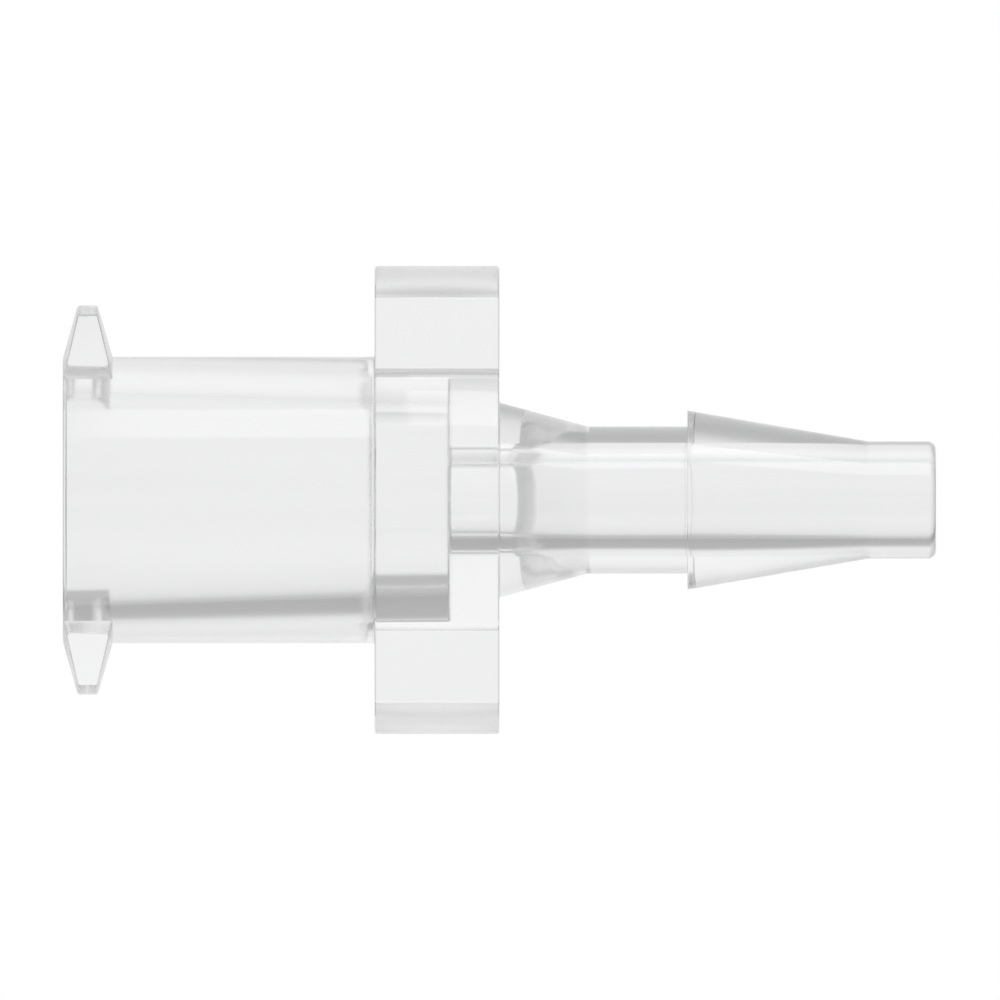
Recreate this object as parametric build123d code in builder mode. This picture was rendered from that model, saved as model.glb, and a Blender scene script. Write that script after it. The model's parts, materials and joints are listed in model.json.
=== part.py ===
"""Female luer lock fitting with a single hose barb, moulded in one piece.

The part stands on its luer mouth. The origin is the centre of the mouth face,
+Z runs along the flow axis towards the barb tip, and the two locking lugs and
the two finger wings point along +X and -X. All lengths are in millimetres.
"""
from build123d import *
import os
from math import hypot

# ---- luer socket -----------------------------------------------------------
socket_od = 5.74            # outside of the barrel
socket_length = 6.25        # mouth face to the near face of the flange
luer_mouth_d = 4.28         # luer bore, measured at the mouth face
luer_taper = 0.06           # loss of diameter for each unit of depth
luer_depth = 7.74           # mouth face to the floor of the luer bore
mouth_chamfer = 0.08        # lead-in at the mouth of the bore

# ---- locking lugs ----------------------------------------------------------
lug_od = 7.80               # across the crests of the two lugs
lug_crest_start = 0.30      # mouth face to the near edge of the crest
lug_crest_width = 0.40      # flat of the crest along the axis
lug_foot_end = 1.00         # mouth face to the foot of the far flank
lug_foot_width = 3.10       # across the foot of a lug, square to the axis
lug_crest_span = 2.47       # across the crest of a lug, square to the axis
lug_round = 0.06            # edges of the crest

# ---- finger wings ----------------------------------------------------------
flange_thickness = 2.50     # along the axis
wing_span = 9.38            # tip to tip
boss_d = 6.90               # round middle of the flange
wing_width = 4.73           # flat to flat, square to the axis
wing_tip_round = 0.08       # corners at the wing tips
wing_root_round = 0.40      # inside corners between a wing and the boss
flange_round = 0.06         # edges of the two flange faces

# ---- hose barb -------------------------------------------------------------
cone_foot_d = 3.91          # foot of the cone on the flange
cone_length = 1.77          # flange to the stem
stem_d = 2.95               # neck that the tube closes on
stem_length = 2.00          # cone to the shoulder of the barb
barb_d = 3.59               # sharp edge of the barb
barb_length = 3.63          # shoulder to the tip cylinder
tip_d = 2.35                # lead-in cylinder that the tube slides on first
tip_length = 1.35           # lead-in cylinder
tip_round = 0.16            # outside edge of the tip
flow_bore_d = 1.56          # through the barb into the luer bore

# ---- edges -----------------------------------------------------------------
mouth_round = 0.06          # outside edge of the mouth face
foot_round = 0.04           # where the barrel and the cone meet the flange

# ---- places along the axis -------------------------------------------------
flange_near = socket_length
flange_mid = flange_near + flange_thickness / 2
flange_far = flange_near + flange_thickness
cone_end = flange_far + cone_length
shoulder = cone_end + stem_length
barb_end = shoulder + barb_length
tip_end = barb_end + tip_length

# ---- radii that follow -----------------------------------------------------
socket_r = socket_od / 2
lug_r = lug_od / 2
boss_r = boss_d / 2
luer_mouth_r = luer_mouth_d / 2
luer_floor_r = luer_mouth_r - luer_taper * luer_depth / 2
wall_mid_r = (socket_r + luer_mouth_r) / 2

near = 0.001                # how close an edge or a face lies to where it is looked for


def is_at(edge, radius, height):
    """True for a circular edge of this radius at this height."""
    return abs(edge.radius - radius) < near and abs(edge.center().Z - height) < near


# Two opposed lugs: a trapezoid turned about the axis, kept only between sides
# that draw in towards the crest as the flanks do.
with BuildPart() as lugs:
    with BuildSketch(Plane.XZ) as lug_profile:
        with BuildLine():
            Polyline(
                (wall_mid_r, 0),
                (socket_r, 0),
                (lug_r, lug_crest_start),
                (lug_r, lug_crest_start + lug_crest_width),
                (socket_r, lug_foot_end),
                (wall_mid_r, lug_foot_end),
                close=True,
            )
        make_face()
        fillet(lug_profile.vertices().group_by(Axis.X)[-1], lug_round)
    revolve(axis=Axis.Z)
    with BuildSketch(Plane.XY) as lug_plan:
        with BuildLine():
            Polyline(
                (0, -lug_foot_width / 2),
                (socket_r, -lug_foot_width / 2),
                (lug_r, -lug_crest_span / 2),
                (lug_r, lug_crest_span / 2),
                (socket_r, lug_foot_width / 2),
                (0, lug_foot_width / 2),
                close=True,
            )
        make_face()
        fillet(lug_plan.vertices().group_by(Axis.X)[-1], lug_round)
        mirror(about=Plane.YZ)
    extrude(amount=lug_foot_end, mode=Mode.INTERSECT)

with BuildPart() as luer_fitting:
    # Barrel, cone, stem, barb and tip are one profile turned about the axis.
    with BuildSketch(Plane.XZ):
        with BuildLine():
            Polyline(
                (0, 0),
                (socket_r, 0),
                (socket_r, flange_mid),
                (cone_foot_d / 2, flange_mid),
                (cone_foot_d / 2, flange_far),
                (stem_d / 2, cone_end),
                (stem_d / 2, shoulder),
                (barb_d / 2, shoulder),
                (tip_d / 2, barb_end),
                (tip_d / 2, tip_end),
                (0, tip_end),
                close=True,
            )
        make_face()
    revolve(axis=Axis.Z)
    rings = luer_fitting.edges().filter_by(GeomType.CIRCLE)
    fillet(rings.filter_by(lambda edge: is_at(edge, socket_r, 0)), mouth_round)
    fillet(rings.filter_by(lambda edge: is_at(edge, tip_d / 2, tip_end)), tip_round)

    # Flange: a round boss with two opposed wings, flat on both sides for a finger
    # and a thumb. Their tips are arcs about the axis.
    with BuildSketch(Plane.XY.offset(flange_near)) as flange_outline:
        Circle(wing_span / 2)
        Rectangle(wing_span, wing_width, mode=Mode.INTERSECT)
        fillet(flange_outline.vertices(), wing_tip_round)
        Circle(boss_r)
        roots = flange_outline.vertices().filter_by(
            lambda corner: abs(hypot(corner.X, corner.Y) - boss_r) < near
        )
        fillet(roots, wing_root_round)
    extrude(amount=flange_thickness)
    for height in (flange_near, flange_far):
        level = luer_fitting.faces().filter_by(Axis.Z).filter_by_position(
            Axis.Z, height - near, height + near
        )
        fillet(level.sort_by(SortBy.AREA)[-1].outer_wire().edges(), flange_round)

    # Small rounds at the feet of the barrel and of the cone.
    rings = luer_fitting.edges().filter_by(GeomType.CIRCLE)
    fillet(rings.filter_by(lambda edge: is_at(edge, socket_r, flange_near)), foot_round)
    fillet(rings.filter_by(lambda edge: is_at(edge, cone_foot_d / 2, flange_far)), foot_round)

    # Locking lugs at the mouth.
    add(lugs.part)

    # Luer bore, with its lead-in, and the flow bore through the barb.
    with BuildSketch(Plane.XZ):
        with BuildLine():
            Polyline(
                (0, 0),
                (luer_mouth_r + mouth_chamfer, 0),
                (luer_mouth_r - luer_taper * mouth_chamfer / 2, mouth_chamfer),
                (luer_floor_r, luer_depth),
                (0, luer_depth),
                close=True,
            )
        make_face()
    revolve(axis=Axis.Z, mode=Mode.SUBTRACT)
    with Locations((0, 0, tip_end)):
        Hole(flow_bore_d / 2, depth=tip_end - luer_depth)

luer_fitting.part.label = "luer_fitting"

os.makedirs("parts", exist_ok=True)
export_step(luer_fitting.part, "parts/luer_fitting.step")
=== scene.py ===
# %% [markdown]
# # A clear luer lock fitting
# This lesson dresses a small moulded fitting: a luer socket with two locking lugs,
# a flange with two finger wings, and a hose barb. It is one clear plastic moulding,
# so the work is in a smooth closed mesh and in how light bends through it. The
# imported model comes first, as a fixed frame that every size is held against.

import json
import math

import bpy
import bmesh
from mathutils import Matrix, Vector


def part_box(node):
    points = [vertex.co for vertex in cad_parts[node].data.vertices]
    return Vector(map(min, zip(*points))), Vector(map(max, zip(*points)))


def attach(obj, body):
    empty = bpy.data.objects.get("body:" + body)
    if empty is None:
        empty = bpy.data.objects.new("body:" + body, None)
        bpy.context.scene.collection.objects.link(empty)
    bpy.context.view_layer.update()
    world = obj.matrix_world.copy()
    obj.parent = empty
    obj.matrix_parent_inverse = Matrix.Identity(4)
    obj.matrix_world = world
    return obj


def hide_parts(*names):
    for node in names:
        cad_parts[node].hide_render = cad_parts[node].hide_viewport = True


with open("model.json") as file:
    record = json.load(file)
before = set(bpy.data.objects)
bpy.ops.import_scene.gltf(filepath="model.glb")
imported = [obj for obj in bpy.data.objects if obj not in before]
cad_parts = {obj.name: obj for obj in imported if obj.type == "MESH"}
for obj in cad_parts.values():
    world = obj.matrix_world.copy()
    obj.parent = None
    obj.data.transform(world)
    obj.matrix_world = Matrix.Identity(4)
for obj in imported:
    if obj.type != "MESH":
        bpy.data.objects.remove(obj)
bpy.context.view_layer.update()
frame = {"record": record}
low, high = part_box("luer_fitting")
mm = 0.001

# %% [markdown]
# ## Sizes
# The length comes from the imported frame, and the radii of the tip and of the flow
# bore from its mounts. These are the sizes that more than one piece needs. The
# flange, the lugs and the rounds have theirs in the cells that make them. Sizes are
# in millimetres and the frame is in metres, so each mesh multiplies by mm at last.

# %% Sizes that the pieces share
mounts = {mount["name"]: mount for mount in frame["record"]["mounts"]}
total_length = (high.z - low.z) / mm
tip_r = mounts["hose_barb"]["dims"]["r_mm"]
flow_r = mounts["flow_bore"]["dims"]["r_mm"]
socket_r = 2.87
socket_length = 6.25
flange_thickness = 2.50
flange_end = socket_length + flange_thickness
luer_mouth_r = 2.14
print("tip radius", tip_r, "flow bore radius", flow_r, "length", round(total_length, 3))

# %% [markdown]
# ## Rounded outlines
# A moulded edge is never perfectly sharp. A Bevel modifier could round the edges of
# the finished solid, but it would treat them all alike. So an outline here is a list
# of corners, and a corner may carry a radius of its own: the first helper swaps each
# such corner for a true arc. The second lays the outline down as a line of points.


# %% A helper that rounds the corners of an outline
def rounded(corners, steps=6):
    """Points of an open outline whose corners are (x, y) or (x, y, radius)."""
    points = []
    for i, corner in enumerate(corners):
        here = Vector(corner[:2])
        if len(corner) == 2:
            points.append(here)
            continue
        radius = corner[2]
        before = (Vector(corners[i - 1][:2]) - here).normalized()
        after = (Vector(corners[i + 1][:2]) - here).normalized()
        half = before.angle(after) / 2
        centre = here + (before + after).normalized() * radius / math.sin(half)
        start = here + before * radius / math.tan(half) - centre
        end = here + after * radius / math.tan(half) - centre
        sweep = start.angle_signed(end)
        for k in range(steps + 1):
            turn = -sweep * k / steps
            spot = Vector((start.x * math.cos(turn) - start.y * math.sin(turn),
                           start.x * math.sin(turn) + start.y * math.cos(turn)))
            points.append(centre + spot)
    return points


def profile_object(name, points):
    """A line of points in the XZ plane, radius along X, as an object."""
    mesh = bpy.data.meshes.new(name)
    spots = [(p.x * mm, 0, p.y * mm) for p in points]
    mesh.from_pydata(spots, [(i, i + 1) for i in range(len(spots) - 1)], [])
    piece = bpy.data.objects.new(name, mesh)
    bpy.context.collection.objects.link(piece)
    return piece


sample = rounded([(0, 0), (1, 0, 0.1), (1, 1)])
print("an outline with one rounded corner has", len(sample), "points")

# %% [markdown]
# ## A lathe in Geometry Nodes
# The barrel, the barb and both bores are round about one axis, so one rule makes
# them all: take a profile, and repeat it at equal turns. The tree lays out a grid
# with one column for each turn, then moves every grid point to the profile's own
# radius and height. Merging the doubles closes the seam and the two poles. A Screw
# modifier could turn a profile too, but the tree also sets the finish.

# %% The lathe tree
weld = 0.0001 * mm


def put(tree, kind, links=None, **settings):
    """Adds a node, sets its properties, and fills or links its inputs."""
    made = tree.nodes.new(kind)
    for key, value in settings.items():
        setattr(made, key, value)
    for key, value in (links or {}).items():
        socket = made.inputs[key]
        if isinstance(value, bpy.types.NodeSocket):
            tree.links.new(value, socket)
        else:
            socket.default_value = value
    return made


def maths(tree, operation, first, second=0.0):
    """One Math node, and its result."""
    return put(tree, "ShaderNodeMath", {0: first, 1: second}, operation=operation).outputs[0]


def lathe_tree():
    """Turns the profile that it is given about the Z axis."""
    tree = bpy.data.node_groups.new("lathe", "GeometryNodeTree")
    sockets = tree.interface
    sockets.new_socket("Profile", in_out="INPUT", socket_type="NodeSocketGeometry")
    steps = sockets.new_socket("Turns", in_out="INPUT", socket_type="NodeSocketInt")
    finish = sockets.new_socket("Finish", in_out="INPUT", socket_type="NodeSocketMaterial")
    sockets.new_socket("Geometry", in_out="OUTPUT", socket_type="NodeSocketGeometry")
    given = tree.nodes.new("NodeGroupInput")
    size = put(tree, "GeometryNodeAttributeDomainSize", {0: given.outputs["Profile"]})
    count = size.outputs["Point Count"]
    columns = maths(tree, "ADD", given.outputs["Turns"], 1)
    grid = put(tree, "GeometryNodeMeshGrid", {"Vertices X": columns, "Vertices Y": count})
    index = tree.nodes.new("GeometryNodeInputIndex").outputs[0]
    row = maths(tree, "MODULO", index, count)
    column = maths(tree, "FLOOR", maths(tree, "DIVIDE", index, count))
    spot = put(
        tree, "GeometryNodeSampleIndex",
        {"Geometry": given.outputs["Profile"], "Index": row,
         "Value": tree.nodes.new("GeometryNodeInputPosition").outputs[0]},
        data_type="FLOAT_VECTOR", domain="POINT",
    )
    parts = put(tree, "ShaderNodeSeparateXYZ", {0: spot.outputs[0]})
    turn = maths(tree, "DIVIDE", maths(tree, "MULTIPLY", column, math.tau), given.outputs["Turns"])
    place = put(
        tree, "ShaderNodeCombineXYZ",
        {"X": maths(tree, "MULTIPLY", parts.outputs["X"], maths(tree, "COSINE", turn)),
         "Y": maths(tree, "MULTIPLY", parts.outputs["X"], maths(tree, "SINE", turn)),
         "Z": parts.outputs["Z"]},
    )
    moved = put(tree, "GeometryNodeSetPosition",
                {"Geometry": grid.outputs["Mesh"], "Position": place.outputs[0]})
    closed = put(tree, "GeometryNodeMergeByDistance",
                 {"Geometry": moved.outputs[0], "Distance": weld})
    plain = put(tree, "GeometryNodeRealizeInstances", {0: closed.outputs[0]})
    painted = put(tree, "GeometryNodeSetMaterial",
                  {"Geometry": plain.outputs[0], "Material": given.outputs["Finish"]})
    put(tree, "NodeGroupOutput", {0: painted.outputs[0]})
    return tree, steps.identifier, finish.identifier


lathe, turns_input, finish_input = lathe_tree()
print("lathe tree with", len(lathe.nodes), "nodes")

# %% [markdown]
# ## From a profile to a plain solid
# The lathe only shows its result while the modifier is live. Here the result is
# taken as a plain mesh, its doubles are merged, and its faces are turned outwards,
# so that the booleans further on are given a clean closed solid. The number of turns
# is high, because a clear wall shows every facet that it has.

# %% Turn a profile into a plain closed mesh
lathe_turns = 192


def plain_mesh(piece, name):
    """The piece's evaluated mesh as an object of its own, with normals outwards."""
    graph = bpy.context.evaluated_depsgraph_get()
    mesh = bpy.data.meshes.new_from_object(piece.evaluated_get(graph))
    bpy.data.objects.remove(piece)
    work = bmesh.new()
    work.from_mesh(mesh)
    bmesh.ops.remove_doubles(work, verts=work.verts, dist=weld)
    bmesh.ops.dissolve_degenerate(work, edges=work.edges, dist=weld)
    bmesh.ops.recalc_face_normals(work, faces=work.faces)
    work.to_mesh(mesh)
    work.free()
    made = bpy.data.objects.new(name, mesh)
    bpy.context.collection.objects.link(made)
    return made


def turned(name, corners, finish):
    """A solid of revolution from the corners of its profile."""
    piece = profile_object(name + "_profile", rounded(corners))
    lathe_step = piece.modifiers.new("lathe", "NODES")
    lathe_step.node_group = lathe
    lathe_step[turns_input] = lathe_turns
    lathe_step[finish_input] = finish
    made = plain_mesh(piece, name)
    print(name, "has", len(made.data.polygons), "faces")
    return made


print("turned solids will have", lathe_turns, "sides")

# %% [markdown]
# ## The plastic
# Clear plastic is a glass-like shader with a lower index than glass. Nothing is
# perfectly clean, though: the steel of the mould leaves a faint grain, and flowing
# plastic cools in soft waves that run on along the flow axis. One node group makes
# both, so that the outside and the bores can share it with different strengths.
# The waves also dull the colour by a hair, as haze in the plastic does. An image
# could carry such marks, but noise needs no file and has no seams.

# %% A node group for the marks of moulding
grain_scale = 9000.0
wave_scale = 420.0
wave_stretch = 0.25
haze = {"From Min": 0.35, "From Max": 0.65, "To Min": 0.985, "To Max": 1.0}


def moulding_marks():
    """Colour, roughness and height of a moulded surface."""
    tree = bpy.data.node_groups.new("moulding_marks", "ShaderNodeTree")
    sockets = tree.interface
    tint = sockets.new_socket("Tint", in_out="INPUT", socket_type="NodeSocketColor")
    tint.default_value = (1, 1, 1, 1)
    for name in ("Polish", "Grain", "Waves"):
        sockets.new_socket(name, in_out="INPUT", socket_type="NodeSocketFloat")
    sockets.new_socket("Color", in_out="OUTPUT", socket_type="NodeSocketColor")
    sockets.new_socket("Roughness", in_out="OUTPUT", socket_type="NodeSocketFloat")
    sockets.new_socket("Height", in_out="OUTPUT", socket_type="NodeSocketFloat")
    given = tree.nodes.new("NodeGroupInput")
    place = tree.nodes.new("ShaderNodeTexCoord").outputs["Object"]
    grain = put(tree, "ShaderNodeTexNoise",
                {"Vector": place, "Scale": grain_scale, "Detail": 3.0, "Roughness": 0.6})
    stretched = put(tree, "ShaderNodeMapping",
                    {"Vector": place, "Scale": (1.0, 1.0, wave_stretch)})
    waves = put(tree, "ShaderNodeTexNoise",
                {"Vector": stretched.outputs[0], "Scale": wave_scale, "Detail": 2.0,
                 "Roughness": 0.4})
    fine = maths(tree, "MULTIPLY", grain.outputs[0], given.outputs["Grain"])
    broad = maths(tree, "MULTIPLY", waves.outputs[0], given.outputs["Waves"])
    height = maths(tree, "ADD", fine, broad)
    spread = maths(tree, "MULTIPLY", maths(tree, "SUBTRACT", grain.outputs[0], 0.5),
                   given.outputs["Polish"])
    rough = maths(tree, "ADD", given.outputs["Polish"], spread)
    dulled = put(tree, "ShaderNodeMapRange", {"Value": waves.outputs[0], **haze})
    colour = put(tree, "ShaderNodeVectorMath",
                 {0: given.outputs["Tint"], "Scale": dulled.outputs[0]}, operation="SCALE")
    put(tree, "NodeGroupOutput",
        {"Color": colour.outputs[0], "Roughness": rough, "Height": height})
    return tree


marks = moulding_marks()
print("moulding marks with", len(marks.nodes), "nodes")

# %% [markdown]
# ## Two polishes of one plastic
# The outside and the bores are the same plastic, but the cores that shape the bores
# carry more grain and fewer waves. The index, the full transmission and the lack of
# metal are plain values on the shader itself. The marks feed only its colour, its
# roughness and, as a relief of a thousandth of a millimetre, its normal.

# %% Two clear materials
plastic_index = 1.47
plastic_tint = (0.995, 0.997, 1.0, 1.0)
relief = 0.001 * mm


def clear_plastic(name, polish, grain, waves):
    """A clear moulded plastic with its own polish."""
    material = bpy.data.materials.new(name)
    material.use_nodes = True
    tree = material.node_tree
    shader = tree.nodes["Principled BSDF"]
    shader.inputs["IOR"].default_value = plastic_index
    shader.inputs["Transmission Weight"].default_value = 1.0
    shader.inputs["Metallic"].default_value = 0.0
    group = put(tree, "ShaderNodeGroup", node_tree=marks)
    group.inputs["Tint"].default_value = plastic_tint
    group.inputs["Polish"].default_value = polish
    group.inputs["Grain"].default_value = grain
    group.inputs["Waves"].default_value = waves
    bump = put(tree, "ShaderNodeBump",
               {"Height": group.outputs["Height"], "Strength": 1.0, "Distance": relief})
    tree.links.new(group.outputs["Color"], shader.inputs["Base Color"])
    tree.links.new(group.outputs["Roughness"], shader.inputs["Roughness"])
    tree.links.new(bump.outputs[0], shader.inputs["Normal"])
    return material


outside = clear_plastic("clear_outside", polish=0.09, grain=0.004, waves=0.6)
inside = clear_plastic("clear_bore", polish=0.09, grain=0.006, waves=0.3)
print("materials", outside.name, inside.name)

# %% [markdown]
# ## The turned body
# One profile runs from the mouth over the barrel, through the flange, and along the
# cone, the stem and the barb to the tip. Inside the flange the profile is hidden, so
# it only has to stay within the flange, where it is tucked a little wider. The bores
# could be part of the same outline, but they have a finish of their own. So they are
# a second solid, which runs past both ends and is cut out last.

# %% Sizes of the bores, the cone and the barb
luer_depth = 7.74
luer_slope = 0.03
luer_floor_r = luer_mouth_r - luer_slope * luer_depth
mouth_chamfer = 0.08
cone_foot_r = 1.955
cone_length = 1.77
cone_end = flange_end + cone_length
stem_r = 1.475
stem_length = 2.00
shoulder = cone_end + stem_length
barb_r = 1.795
barb_length = 3.63
barb_end = shoulder + barb_length
print("luer bore narrows to", round(luer_floor_r, 4), "and the barb ends at", round(barb_end, 3))

# %% The outside and the bores
mouth_round = 0.06
foot_round = 0.04
slope_round = 0.5
barb_round = 0.02
tip_round = 0.16
luer_floor_round = 0.05
flow_mouth_round = 0.03
middle = (socket_length + flange_end) / 2
tuck = 0.3
past_end = 1
body = turned(
    "body",
    [
        (0, 0),
        (socket_r, 0, mouth_round),
        (socket_r, socket_length, foot_round),
        (socket_r + tuck, socket_length),
        (socket_r + tuck, middle),
        (cone_foot_r + tuck, middle),
        (cone_foot_r + tuck, flange_end),
        (cone_foot_r, flange_end, foot_round),
        (stem_r, cone_end, slope_round),
        (stem_r, shoulder),
        (barb_r, shoulder, barb_round),
        (tip_r, barb_end, slope_round),
        (tip_r, total_length, tip_round),
        (0, total_length),
    ],
    outside,
)
bores = turned(
    "bores",
    [
        (0, -past_end),
        (luer_mouth_r + mouth_chamfer, -past_end),
        (luer_mouth_r + mouth_chamfer, 0),
        (luer_mouth_r, mouth_chamfer),
        (luer_floor_r, luer_depth, luer_floor_round),
        (flow_r, luer_depth, flow_mouth_round),
        (flow_r, total_length + past_end),
        (0, total_length + past_end),
    ],
    inside,
)

# %% [markdown]
# ## The flange and its wings
# The outline is a round boss with two wings, flat on both sides for a finger and a
# thumb. A quarter of it is four arcs and a straight. It is mirrored twice, pulled up
# to its thickness, and its two rims get a small bevel. The lathe can't make it,
# because its outline isn't round.

# %% The flange
wing_span = 9.38
wing_width = 4.73
wing_tip_round = 0.08
wing_root_round = 0.40
boss_r = 3.45
flange_round = 0.06
same_height = 0.001 * mm


def arc(centre, radius, start, end, steps):
    """Points along an arc, from one angle to another."""
    turns = [start + (end - start) * k / steps for k in range(steps + 1)]
    return [(centre.x + radius * math.cos(t), centre.y + radius * math.sin(t)) for t in turns]


def flange_outline():
    """Points round the flange: tip, flat, root and boss, mirrored into four quarters."""
    middle = Vector((0, 0))
    tip = wing_span / 2
    half = wing_width / 2
    corner_y = half - wing_tip_round
    corner_angle = math.asin(corner_y / (tip - wing_tip_round))
    corner = Vector(((tip - wing_tip_round) * math.cos(corner_angle), corner_y))
    root_y = half + wing_root_round
    root_angle = math.asin(root_y / (boss_r + wing_root_round))
    root = Vector(((boss_r + wing_root_round) * math.cos(root_angle), root_y))
    quarter = arc(middle, tip, 0, corner_angle, steps=16)
    quarter += arc(corner, wing_tip_round, corner_angle, math.pi / 2, steps=5)[1:]
    quarter += arc(root, wing_root_round, -math.pi / 2, root_angle - math.pi, steps=8)
    quarter += arc(middle, boss_r, root_angle, math.pi / 2, steps=24)[1:]
    top = quarter + [(-x, y) for x, y in reversed(quarter[:-1])]
    return top + [(x, -y) for x, y in reversed(top[1:-1])]


def flange():
    """The flange as a closed prism with beveled rims."""
    work = bmesh.new()
    ring = [work.verts.new((x * mm, y * mm, socket_length * mm)) for x, y in flange_outline()]
    base = work.faces.new(ring)
    lifted = bmesh.ops.extrude_face_region(work, geom=[base])["geom"]
    top = [v for v in lifted if isinstance(v, bmesh.types.BMVert)]
    bmesh.ops.translate(work, verts=top, vec=(0, 0, (flange_end - socket_length) * mm))
    rims = [e for e in work.edges
            if abs(e.verts[0].co.z - e.verts[1].co.z) < same_height]
    bmesh.ops.bevel(work, geom=rims, offset=flange_round * mm, segments=3, profile=0.5,
                    affect="EDGES", clamp_overlap=True)
    bmesh.ops.recalc_face_normals(work, faces=work.faces)
    mesh = bpy.data.meshes.new("flange")
    work.to_mesh(mesh)
    work.free()
    mesh.materials.append(outside)
    made = bpy.data.objects.new("flange", mesh)
    bpy.context.collection.objects.link(made)
    return made


wings = flange()
print("flange has", len(wings.data.polygons), "faces")

# %% [markdown]
# ## The locking lugs
# A lug is a short tapered tab that a locking collar turns onto. Its section is a
# trapezoid, laid out in slices across its width. Each corner of a slice is turned
# about the axis by its own angle, so the crest is round and the sides draw in
# towards it. A tapered box would be quicker, but its crest would be flat.

# %% One lug
lug_r = 3.90
lug_crest_start = 0.30
lug_crest_end = 0.70
lug_foot_end = 1.00
lug_foot_half = 1.55
lug_crest_half = 1.235
lug_round = 0.05
lug_slices = 24
lug_edge_angle = math.radians(30)
lug_lift = 0.01


def lug():
    """One lug as a closed solid, reaching a little into the barrel's wall."""
    inner = (socket_r + luer_mouth_r) / 2
    inner_half = lug_foot_half + (lug_foot_half - lug_crest_half) * (socket_r - inner) / (
        lug_r - socket_r
    )
    section = [
        (inner, inner_half, lug_lift),
        (socket_r, lug_foot_half, lug_lift),
        (lug_r, lug_crest_half, lug_crest_start),
        (lug_r, lug_crest_half, lug_crest_end),
        (socket_r, lug_foot_half, lug_foot_end),
        (inner, inner_half, lug_foot_end),
    ]
    work = bmesh.new()
    slices = []
    for k in range(lug_slices + 1):
        share = 2 * k / lug_slices - 1
        row = []
        for radius, half, height in section:
            turn = math.asin(half / radius) * share
            row.append(work.verts.new((radius * math.cos(turn) * mm,
                                       radius * math.sin(turn) * mm, height * mm)))
        slices.append(row)
    for near, far in zip(slices, slices[1:]):
        for k in range(len(section)):
            after = (k + 1) % len(section)
            work.faces.new((near[k], near[after], far[after], far[k]))
    work.faces.new(reversed(slices[0]))
    work.faces.new(slices[-1])
    bmesh.ops.recalc_face_normals(work, faces=work.faces)
    mesh = bpy.data.meshes.new("lug")
    work.to_mesh(mesh)
    work.free()
    mesh.materials.append(outside)
    made = bpy.data.objects.new("lug", mesh)
    bpy.context.collection.objects.link(made)
    soften = made.modifiers.new("soften", "BEVEL")
    soften.width = lug_round * mm
    soften.segments = 3
    soften.limit_method = "ANGLE"
    soften.angle_limit = lug_edge_angle
    return made


one_lug = lug()
print("one lug has", len(one_lug.data.polygons), "faces before its edges are softened")

# %% [markdown]
# ## The second lug
# The two lugs are alike and half a turn apart, so the lug is drawn once and a small
# tree sets copies of it at equal turns about the axis. An Array modifier could do it
# with a helper object to turn about, which the tree doesn't need. The copies are
# made real before the finish is set, because instances would be lost in an export.


# %% Two lugs at equal turns
def repeat_tree():
    """Copies of a solid at equal turns about the Z axis."""
    tree = bpy.data.node_groups.new("repeat_about_axis", "GeometryNodeTree")
    sockets = tree.interface
    sockets.new_socket("Solid", in_out="INPUT", socket_type="NodeSocketGeometry")
    count = sockets.new_socket("Copies", in_out="INPUT", socket_type="NodeSocketInt")
    finish = sockets.new_socket("Finish", in_out="INPUT", socket_type="NodeSocketMaterial")
    sockets.new_socket("Geometry", in_out="OUTPUT", socket_type="NodeSocketGeometry")
    given = tree.nodes.new("NodeGroupInput")
    line = put(tree, "GeometryNodeMeshLine",
               {"Count": given.outputs["Copies"], "Offset": (0.0, 0.0, 0.0)})
    index = tree.nodes.new("GeometryNodeInputIndex").outputs[0]
    turn = maths(tree, "DIVIDE", maths(tree, "MULTIPLY", index, math.tau),
                 given.outputs["Copies"])
    aim = put(tree, "ShaderNodeCombineXYZ", {"Z": turn})
    copies = put(tree, "GeometryNodeInstanceOnPoints",
                 {"Points": line.outputs[0], "Instance": given.outputs["Solid"],
                  "Rotation": aim.outputs[0]})
    plain = put(tree, "GeometryNodeRealizeInstances", {0: copies.outputs[0]})
    painted = put(tree, "GeometryNodeSetMaterial",
                  {"Geometry": plain.outputs[0], "Material": given.outputs["Finish"]})
    put(tree, "NodeGroupOutput", {0: painted.outputs[0]})
    return tree, count.identifier, finish.identifier


lug_count = 2
repeat, copies_input, repeat_finish = repeat_tree()
step = one_lug.modifiers.new("repeat", "NODES")
step.node_group = repeat
step[copies_input] = lug_count
step[repeat_finish] = outside
lugs = plain_mesh(one_lug, "lugs")
print("lugs have", len(lugs.data.polygons), "faces")

# %% [markdown]
# ## One closed moulding
# Light that passes through a clear part sees every surface inside it, so the pieces
# can't just overlap: they are joined by exact booleans into one skin, and the bores
# are cut from it last.


# %% Join the pieces and cut the bores
def combine(base, other, operation):
    """Adds or cuts one solid, and keeps the result as a plain mesh."""
    step = base.modifiers.new(operation, "BOOLEAN")
    step.operation = operation
    step.solver = "EXACT"
    step.object = other
    graph = bpy.context.evaluated_depsgraph_get()
    mesh = bpy.data.meshes.new_from_object(base.evaluated_get(graph))
    base.modifiers.clear()
    base.data = mesh
    bpy.data.objects.remove(other)


combine(body, wings, "UNION")
combine(body, lugs, "UNION")
combine(body, bores, "DIFFERENCE")
body.name = "luer_moulding"
body.data.name = "luer_moulding"
print("joined into", len(body.data.polygons), "faces")

# %% [markdown]
# ## Even shading
# Round walls have to bend light smoothly, and flat ones have to stay flat. Edges
# over the limit are kept sharp. For the rest, normals are weighted by face area, so
# that a large flat face isn't tilted by the tiny faces of the round beside it.

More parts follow.
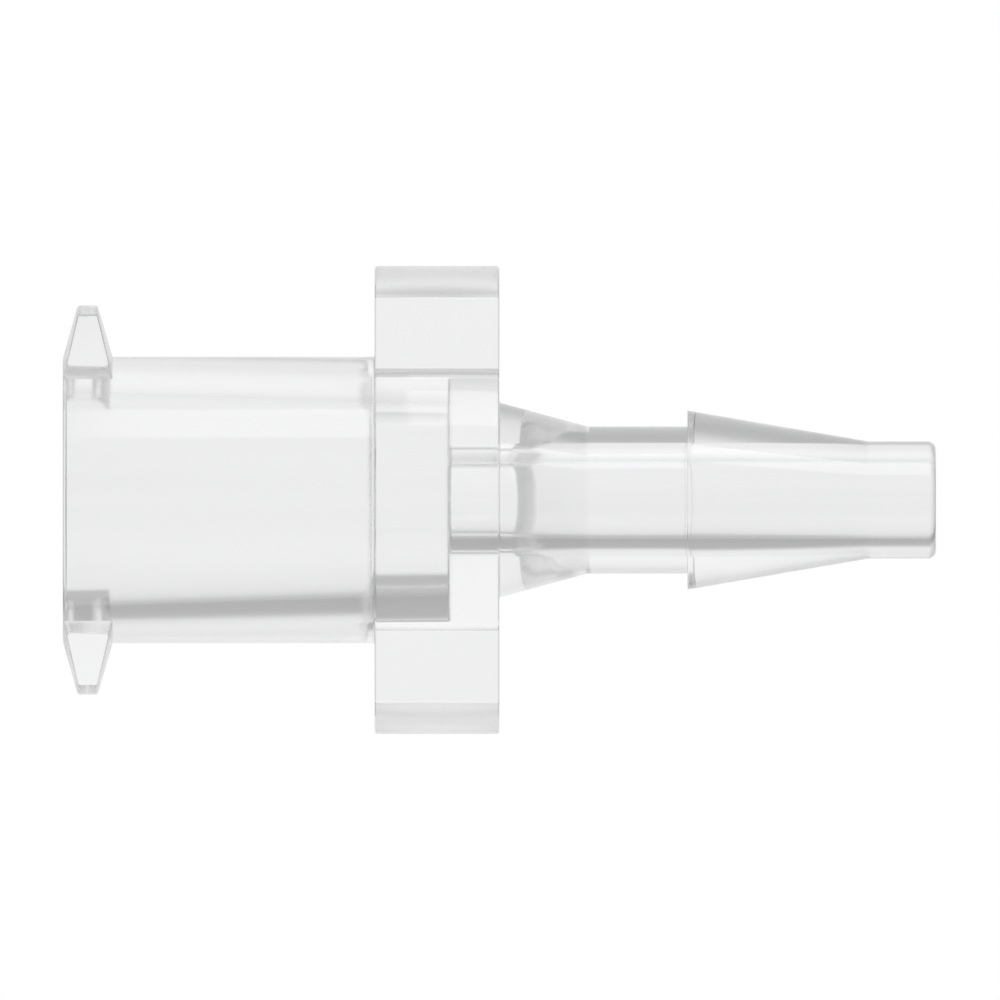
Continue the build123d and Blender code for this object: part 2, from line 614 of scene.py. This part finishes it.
# %% Shade the skin
sharp_from = math.radians(28)
body.data.shade_smooth()
body.data.set_sharp_from_angle(angle=sharp_from)
even = body.modifiers.new("even", "WEIGHTED_NORMAL")
even.mode = "FACE_AREA"
even.weight = 100
even.keep_sharp = True
graph = bpy.context.evaluated_depsgraph_get()
shaded = bpy.data.meshes.new_from_object(body.evaluated_get(graph))
body.modifiers.clear()
body.data = shaded
body.data.name = "luer_moulding"

check = bmesh.new()
check.from_mesh(body.data)
open_edges = sum(1 for edge in check.edges if len(edge.link_faces) != 2)
print("moulding:", len(check.faces), "faces,", open_edges, "open edges, volume in mm3",
      round(check.calc_volume() / mm**3, 2))
check.free()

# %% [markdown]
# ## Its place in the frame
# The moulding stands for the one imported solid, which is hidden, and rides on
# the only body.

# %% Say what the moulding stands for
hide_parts("luer_fitting")
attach(body, "root")
print(body.name, "rides on root")

# %% [markdown]
# ## The backdrop
# Clear things are lit by what is round them, not by what shines on them. The camera
# sees plain white, and light that the plastic bends or mirrors sees other levels.
# They get darker on the +X side, which draws the walls as soft grey lines, and
# towards both ends of the flow axis, which draws the edges. The half on the camera's
# side has levels of its own: pale, with a grey band. Cards stood round the part
# could do this too, but they would block the view from behind. A world that depends
# only on the direction of the ray can't.

# %% Grey levels of the backdrop
# Each stop is (place, level). A place runs from the -X side at 0 to the +X side at 1,
# and in end_levels from square to the flow axis at 0 to along it at 1.
side_levels = [
    (0.0, 0.72), (0.05, 0.81), (0.10, 0.90), (0.146, 0.94), (0.25, 0.95), (0.40, 0.90),
    (0.50, 0.88), (0.62, 0.89), (0.71, 0.84), (0.75, 0.78), (0.787, 0.61), (0.815, 0.50),
    (0.872, 0.45), (0.92, 0.45), (0.95, 0.43), (1.0, 0.42),
]
end_levels = [(0.0, 1.0), (0.15, 1.0), (0.35, 0.88), (0.55, 0.72), (0.75, 0.58), (1.0, 0.48)]
front_levels = [(0.0, 0.86), (0.50, 0.86), (0.55, 0.58), (0.72, 0.56), (0.80, 0.78), (1.0, 0.78)]
front_begins = -0.1
front_is_full = -0.6
fill_light = 0.75


def fill_ramp(node, levels):
    """Sets a color ramp to a list of (place, grey level) stops."""
    ramp = node.color_ramp
    ramp.elements[0].position = levels[0][0]
    ramp.elements[1].position = levels[-1][0]
    for place, _ in levels[1:-1]:
        ramp.elements.new(place)
    for element, (_, level) in zip(ramp.elements, levels):
        element.color = (level, level, level, 1.0)


def backdrop():
    """White to the camera; light that is bent or mirrored sees the grey levels."""
    world = bpy.data.worlds.new("studio")
    bpy.context.scene.world = world
    world.use_nodes = True
    tree = world.node_tree
    tree.nodes.clear()
    way = put(tree, "ShaderNodeSeparateXYZ",
              {0: tree.nodes.new("ShaderNodeTexCoord").outputs["Generated"]})
    across = maths(tree, "MULTIPLY", maths(tree, "ADD", way.outputs["X"], 1.0), 0.5)
    side = put(tree, "ShaderNodeValToRGB", {0: across})
    fill_ramp(side, side_levels)
    ends = put(tree, "ShaderNodeValToRGB", {0: maths(tree, "ABSOLUTE", way.outputs["Z"])})
    fill_ramp(ends, end_levels)
    behind = put(tree, "ShaderNodeVectorMath", {0: side.outputs[0], 1: ends.outputs[0]},
                 operation="MULTIPLY")
    front = put(tree, "ShaderNodeValToRGB", {0: across})
    fill_ramp(front, front_levels)
    nearness = put(tree, "ShaderNodeMapRange",
                   {"Value": way.outputs["Y"], "From Min": front_begins,
                    "From Max": front_is_full, "To Min": 0.0, "To Max": 1.0})
    # On a Mix node, sockets 6 and 7 are its two colors and output 2 is the result.
    both = put(tree, "ShaderNodeMix",
               {0: nearness.outputs[0], 6: behind.outputs[0], 7: front.outputs[0]},
               data_type="RGBA")
    ray = tree.nodes.new("ShaderNodeLightPath")
    seen = maths(tree, "MAXIMUM", ray.outputs["Is Glossy Ray"],
                 ray.outputs["Is Transmission Ray"])
    card = put(tree, "ShaderNodeBackground", {"Color": both.outputs[2], "Strength": 1.0})
    plain = put(tree, "ShaderNodeBackground", {"Color": (1, 1, 1, 1), "Strength": fill_light})
    white = put(tree, "ShaderNodeBackground", {"Color": (1, 1, 1, 1), "Strength": 1.0})
    lit = put(tree, "ShaderNodeMixShader", {0: seen, 1: plain.outputs[0], 2: card.outputs[0]})
    shown = put(tree, "ShaderNodeMixShader",
                {0: ray.outputs["Is Camera Ray"], 1: lit.outputs[0], 2: white.outputs[0]})
    put(tree, "ShaderNodeOutputWorld", {"Surface": shown.outputs[0]})


backdrop()
print("backdrop with", len(side_levels), "stops across and", len(end_levels), "along")

# %% [markdown]
# ## The floor
# A pale floor catches the part's shadow. It lies a hair under the mouth, so that the
# two faces don't fight. Bent and mirrored light passes through it to the backdrop,
# as through a light table, and it is clear from below, so the mouth can be seen.

# %% The floor
floor_reach = 250 * mm
floor_gap = 0.01 * mm
floor_grey = 0.86
floor_roughness = 0.9


def floor():
    """A pale floor that keeps the part's shadow."""
    mesh = bpy.data.meshes.new("floor")
    reach = floor_reach
    level = low.z - floor_gap
    mesh.from_pydata([(-reach, -reach, level), (reach, -reach, level), (reach, reach, level),
                      (-reach, reach, level)], [], [(0, 1, 2, 3)])
    made = bpy.data.objects.new("floor", mesh)
    bpy.context.collection.objects.link(made)
    material = bpy.data.materials.new("pale_floor")
    material.use_nodes = True
    shader = material.node_tree.nodes["Principled BSDF"]
    shader.inputs["Base Color"].default_value = (floor_grey, floor_grey, floor_grey, 1)
    shader.inputs["Roughness"].default_value = floor_roughness
    shader.inputs["Specular IOR Level"].default_value = 0.0
    tree = material.node_tree
    ray = tree.nodes.new("ShaderNodeLightPath")
    bent = maths(tree, "MAXIMUM", ray.outputs["Is Glossy Ray"],
                 ray.outputs["Is Transmission Ray"])
    below = tree.nodes.new("ShaderNodeNewGeometry").outputs["Backfacing"]
    clear = tree.nodes.new("ShaderNodeBsdfTransparent")
    shown = put(tree, "ShaderNodeMixShader",
                {0: maths(tree, "MAXIMUM", bent, below), 1: shader.outputs[0],
                 2: clear.outputs[0]})
    tree.links.new(shown.outputs[0], tree.nodes["Material Output"].inputs["Surface"])
    mesh.materials.append(material)
    return made


ground = floor()
print(ground.name, "lies", round(floor_gap / mm, 3), "mm under the part")

# %% [markdown]
# ## The lamp
# One tall soft lamp stands on the -X side, nearer to the camera than the part, and
# puts a long highlight on the round walls. Only the outer skin mirrors it: rays that
# have been through the plastic don't see it, because its image in the inner walls
# would hide the shape of the bores. A small lamp would give a thin hard streak.

# %% The lamp
lamp_side = math.radians(-63.7)
lamp_width = 28 * mm
lamp_height = 70 * mm
lamp_distance = 60 * mm
lamp_lift = 0.5 * mm
lamp_level = 2.0


def soft_lamp(name, side, width, height, distance, level):
    """A tall soft lamp that faces the part from one side."""
    data = bpy.data.lights.new(name, "AREA")
    data.shape = "RECTANGLE"
    data.size = width
    data.size_y = height
    data.energy = level * math.pi * width * height
    lamp = bpy.data.objects.new(name, data)
    bpy.context.collection.objects.link(lamp)
    toward = Vector((math.sin(side), -math.cos(side), 0))
    lamp.location = toward * distance + Vector((0, 0, height / 2 + low.z + lamp_lift))
    lamp.rotation_mode = "QUATERNION"
    lamp.rotation_quaternion = toward.to_track_quat("Z", "Y")
    lamp.visible_transmission = False
    return lamp


lamp = soft_lamp("long_soft_lamp", lamp_side, lamp_width, lamp_height, lamp_distance, lamp_level)
print(lamp.name, "of", round(lamp.data.energy, 4), "watts")

# %% [markdown]
# ## The camera
# The camera looks level at the side of the part, and is rolled a quarter turn, so
# that the flow axis runs across the view with the luer mouth on the left. It is
# orthographic, as small parts are shown in a catalogue, so that both ends of the
# part are drawn to one scale.

# %% The camera
view_width = 20.04 * mm
view_middle = 8.763 * mm
camera_distance = 80 * mm
nearest = 1 * mm
furthest = 1.0
camera_data = bpy.data.cameras.new("camera")
camera_data.type = "ORTHO"
camera_data.ortho_scale = view_width
camera_data.clip_start = nearest
camera_data.clip_end = furthest
camera = bpy.data.objects.new("camera", camera_data)
bpy.context.collection.objects.link(camera)
camera.location = (0, -camera_distance, view_middle)
camera.rotation_euler = (math.radians(90), math.radians(-90), 0)
bpy.context.scene.camera = camera
print("camera sees", round(view_width / mm, 2), "mm across")

# %% [markdown]
# ## Room for the light to bounce
# A ray can be mirrored many times between the walls of a clear part before it gets
# out. Where it runs out of bounces it turns black, so it is given plenty.

# %% Bounces and view
inner_bounces = 40
other_bounces = 24
scene = bpy.context.scene
scene.view_settings.view_transform = "Standard"
scene.cycles.max_bounces = inner_bounces
scene.cycles.transmission_bounces = inner_bounces
scene.cycles.glossy_bounces = other_bounces
scene.cycles.transparent_max_bounces = other_bounces
print("up to", scene.cycles.max_bounces, "bounces")
